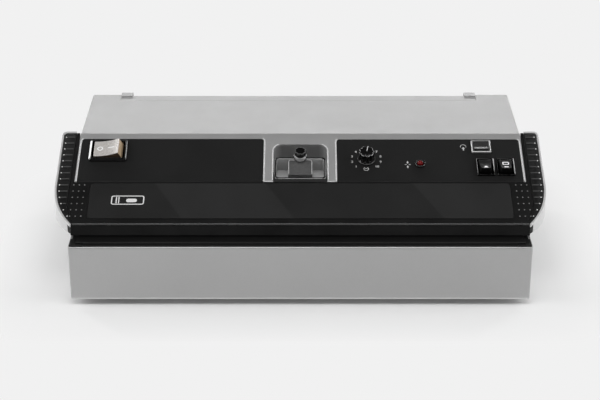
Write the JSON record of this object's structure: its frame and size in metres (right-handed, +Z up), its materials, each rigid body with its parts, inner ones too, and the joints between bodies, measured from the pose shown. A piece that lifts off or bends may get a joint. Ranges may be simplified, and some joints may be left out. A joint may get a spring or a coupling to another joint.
{
  "type": "vacuum sealer",
  "caption": "Tabletop vacuum sealer: sheet-steel housing with a sloped control panel, hinged lid with side grips over a vacuum trough and seal bar, lift-out liquid trap, dial and rocker switches.",
  "frame": {"origin": "under the middle of the whole object, on the surface that it stands on", "axes": "+X to the right seen from the front, +Y to the back, +Z up"},
  "size_m": [0.403, 0.224, 0.1035],
  "materials": {
    "silver_paint": "satin silver powder coat",
    "black_plastic": "fine satin",
    "panel_foil": "fine grained matt",
    "grip_rubber": "ribbed",
    "foot_rubber": "matt",
    "gasket_foam": "closed-cell foam",
    "gloss_black": "gloss",
    "switch_silver": "metallised",
    "grey_plastic": "fine satin",
    "clear_plastic": "clear polycarbonate",
    "red_lens": "red lamp lens",
    "bare_metal": "machined",
    "steel": "plain",
    "ptfe": "woven PTFE tape",
    "silicone": "red-brown silicone",
    "hose_silicone": "translucent",
    "circuit_green": "solder mask",
    "winding": "enamelled wire and steel core"
  },
  "bodies": {
    "housing": {"front_shell": "silver_paint", "base_plate": "silver_paint", "top_cover": "silver_paint", "rear_panel": "silver_paint", "cord_bracket": "silver_paint", "chamber_tray": "black_plastic", "corner_plate_left": "black_plastic", "corner_plate_right": "black_plastic", "panel_foil_left": "panel_foil", "panel_foil_right": "panel_foil", "foot_front_left": "foot_rubber", "foot_front_right": "foot_rubber", "foot_rear_left": "foot_rubber", "foot_rear_right": "foot_rubber", "lower_gasket": "gasket_foam", "power_inlet": "gloss_black", "main_switch_body": "gloss_black", "vacuum_button_body": "gloss_black", "seal_button_body": "gloss_black", "led_bezel": "gloss_black", "hinge_bush_left": "gloss_black", "hinge_bush_right": "gloss_black", "solenoid_valve": "gloss_black", "mode_switch_body": "switch_silver", "trap_well": "grey_plastic", "motor_housing": "grey_plastic", "led_lens": "red_lens", "seal_bar": "bare_metal", "pump_body": "bare_metal", "heating_strip": "steel", "inlet_pin_live": "steel", "inlet_pin_neutral": "steel", "inlet_pin_earth": "steel", "vacuum_port": "steel", "potentiometer": "steel", "ptfe_tape": "ptfe", "valve_hose": "hose_silicone", "pump_hose": "hose_silicone", "circuit_board": "circuit_green", "transformer": "winding"},
    "lid": {"lid_shell": "black_plastic", "lid_plate": "panel_foil", "lid_gasket": "gasket_foam", "press_bar": "silicone", "wing_shell_left": "silver_paint", "wing_shell_right": "silver_paint", "grip_left": "grip_rubber", "grip_right": "grip_rubber", "hinge_pin_left": "steel", "hinge_pin_right": "steel"},
    "main_rocker": {"main_rocker": "switch_silver"},
    "mode_rocker": {"mode_rocker": "gloss_black"},
    "vacuum_button": {"vacuum_button": "gloss_black"},
    "seal_button": {"seal_button": "gloss_black"},
    "dial": {"dial_knob": "gloss_black"},
    "trap": {"trap_cup": "clear_plastic", "trap_stem": "clear_plastic", "trap_cap": "gloss_black"},
    "rotor": {"motor_rotor": "steel"}
  },
  "joints": [
    {"name": "lid_hinge", "type": "hinge", "parent": "housing", "child": "lid", "pos_m": [0, -0.01, 0.084], "axis": [-1, 0, 0], "range_deg": [0, 105]},
    {"name": "main_rocker_tilt", "type": "hinge", "parent": "housing", "child": "main_rocker", "pos_m": [-0.1607, -0.01461, 0.0916], "axis": [0, 0.9346, 0.3557], "range_deg": [0, 22]},
    {"name": "mode_rocker_tilt", "type": "hinge", "parent": "housing", "child": "mode_rocker", "pos_m": [0.15165, -0.01052, 0.09433], "axis": [1, 0, 0], "range_deg": [0, 18]},
    {"name": "vacuum_button_press", "type": "hinge", "parent": "housing", "child": "vacuum_button", "pos_m": [0.1536, -0.03187, 0.08396], "axis": [1, 0, 0], "range_deg": [0, 9], "stiffness_Nm_per_rad": 0.2},
    {"name": "seal_button_press", "type": "hinge", "parent": "housing", "child": "seal_button", "pos_m": [0.1704, -0.03187, 0.08396], "axis": [1, 0, 0], "range_deg": [0, 9], "stiffness_Nm_per_rad": 0.2},
    {"name": "dial_turn", "type": "hinge", "parent": "housing", "child": "dial", "pos_m": [0.0551, -0.02439, 0.09002], "axis": [0, -0.3557, 0.9346], "range_deg": [-120, 150]},
    {"name": "trap_lift", "type": "slide", "parent": "housing", "child": "trap", "axis": [0, -0.3557, 0.9346], "range_m": [0, 0.02]},
    {"name": "rotor_spin", "type": "hinge", "parent": "housing", "child": "rotor", "pos_m": [0, 0.038, 0.048], "axis": [1, 0, 0], "continuous": true}
  ]
}
